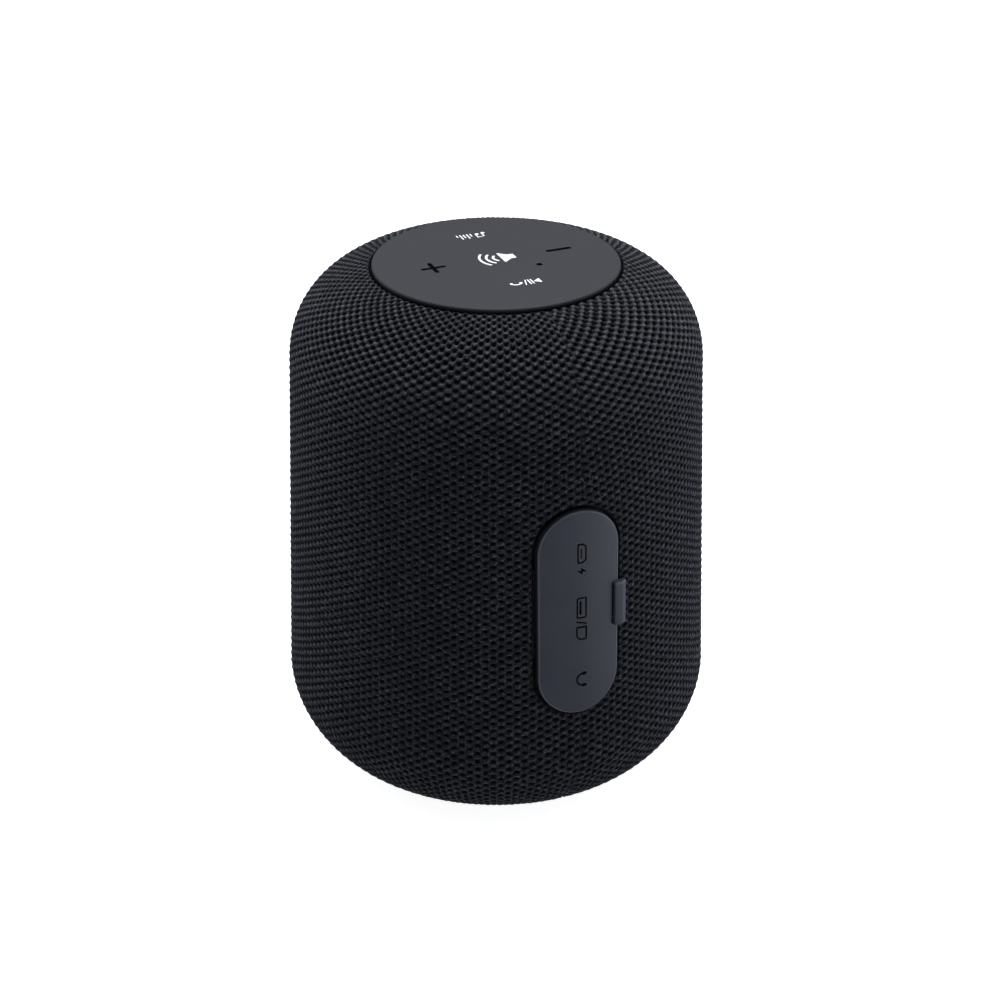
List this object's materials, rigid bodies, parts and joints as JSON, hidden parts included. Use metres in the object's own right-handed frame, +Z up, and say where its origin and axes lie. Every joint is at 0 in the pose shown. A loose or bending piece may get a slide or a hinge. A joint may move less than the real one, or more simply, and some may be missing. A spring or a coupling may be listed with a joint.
{
  "type": "portable bluetooth speaker",
  "caption": "Round-shouldered upright cylinder speaker in a knitted sleeve, with a key panel on top and a hinged rubber port flap at the rear.",
  "frame": {"origin": "centre of the rubber foot ring, on the surface that the speaker stands on", "axes": "+Z up along the body's axis, -Y towards the front where the driver is, +Y towards the rear port flap, +X to the user's right"},
  "size_m": [0.09, 0.0905, 0.112],
  "materials": {
    "sleeve_knit": "black knitted mesh, slightly glossy yarn",
    "panel_rubber": "matte dark grey",
    "flap_rubber": "matte blue grey",
    "foot_rubber": "matte black",
    "trim_plastic": "satin dark grey",
    "case_plastic": "satin black",
    "circuit_board": "green solder mask",
    "nickel_shell": "nickel plated",
    "zinc_steel": "zinc plated",
    "ferrite": "sintered, dull",
    "cone_paper": "pressed paper pulp",
    "coil_copper": "enamelled copper",
    "spider_cloth": "resin stiffened cloth",
    "foam": "closed cell foam",
    "cell_wrap": "shrink wrap",
    "lead_pvc": "soft insulation",
    "ribbon_film": "laminated film",
    "switch_plastic": "moulded black"
  },
  "bodies": {
    "housing": {"fabric_sleeve": "sleeve_knit", "key_panel": "panel_rubber", "flap_anchor": "flap_rubber", "foot_ring": "foot_rubber", "top_trim_ring": "trim_plastic", "cabinet_barrel": "case_plastic", "speaker_grille": "case_plastic", "top_deck": "case_plastic", "port_bay": "case_plastic", "base_plate": "case_plastic", "battery_cradle": "case_plastic", "key_board": "circuit_board", "main_board": "circuit_board", "usb_power_socket": "nickel_shell", "usb_a_socket": "nickel_shell", "card_socket": "nickel_shell", "bluetooth_module": "nickel_shell", "microphone": "nickel_shell", "driver_basket": "zinc_steel", "driver_top_plate": "zinc_steel", "driver_pole_plate": "zinc_steel", "driver_screw_1": "zinc_steel", "driver_screw_2": "zinc_steel", "driver_screw_3": "zinc_steel", "driver_screw_4": "zinc_steel", "deck_screw_1": "zinc_steel", "deck_screw_2": "zinc_steel", "deck_screw_3": "zinc_steel", "base_screw_1": "zinc_steel", "base_screw_2": "zinc_steel", "base_screw_3": "zinc_steel", "board_screw_1": "zinc_steel", "board_screw_2": "zinc_steel", "driver_magnet": "ferrite", "driver_surround": "foot_rubber", "driver_spider": "spider_cloth", "driver_gasket": "foam", "base_seal": "foam", "battery_cell": "cell_wrap", "battery_lead": "lead_pvc", "speaker_lead": "lead_pvc", "key_ribbon": "ribbon_film", "audio_jack": "switch_plastic", "amplifier_chip": "switch_plastic", "switch_plus": "switch_plastic", "switch_play": "switch_plastic", "switch_minus": "switch_plastic", "switch_mode": "switch_plastic"},
    "key_plus": {"key_plus": "panel_rubber", "switch_stem_plus": "trim_plastic"},
    "key_play": {"key_play": "panel_rubber", "switch_stem_play": "trim_plastic"},
    "key_minus": {"key_minus": "panel_rubber", "switch_stem_minus": "trim_plastic"},
    "key_mode": {"key_mode": "panel_rubber", "switch_stem_mode": "trim_plastic"},
    "driver_cone": {"driver_cone": "cone_paper", "driver_dust_cap": "cone_paper", "driver_voice_coil": "coil_copper"},
    "port_flap": {"port_flap": "flap_rubber"}
  },
  "joints": [
    {"name": "key_plus_press", "type": "slide", "parent": "housing", "child": "key_plus", "axis": [0, 0, -1], "range_m": [0, 0.0004], "stiffness_N_per_m": 400},
    {"name": "key_play_press", "type": "slide", "parent": "housing", "child": "key_play", "axis": [0, 0, -1], "range_m": [0, 0.0004], "stiffness_N_per_m": 400},
    {"name": "key_minus_press", "type": "slide", "parent": "housing", "child": "key_minus", "axis": [0, 0, -1], "range_m": [0, 0.0004], "stiffness_N_per_m": 400},
    {"name": "key_mode_press", "type": "slide", "parent": "housing", "child": "key_mode", "axis": [0, 0, -1], "range_m": [0, 0.0004], "stiffness_N_per_m": 400},
    {"name": "cone_excursion", "type": "slide", "parent": "housing", "child": "driver_cone", "axis": [0, -1, 0], "range_m": [-0.0025, 0.0025], "stiffness_N_per_m": 600},
    {"name": "port_flap_hinge", "type": "hinge", "parent": "housing", "child": "port_flap", "pos_m": [0.00895, 0.0433, 0.0533], "axis": [0, 0, -1], "range_deg": [0, 110], "stiffness_Nm_per_rad": 0.002}
  ]
}
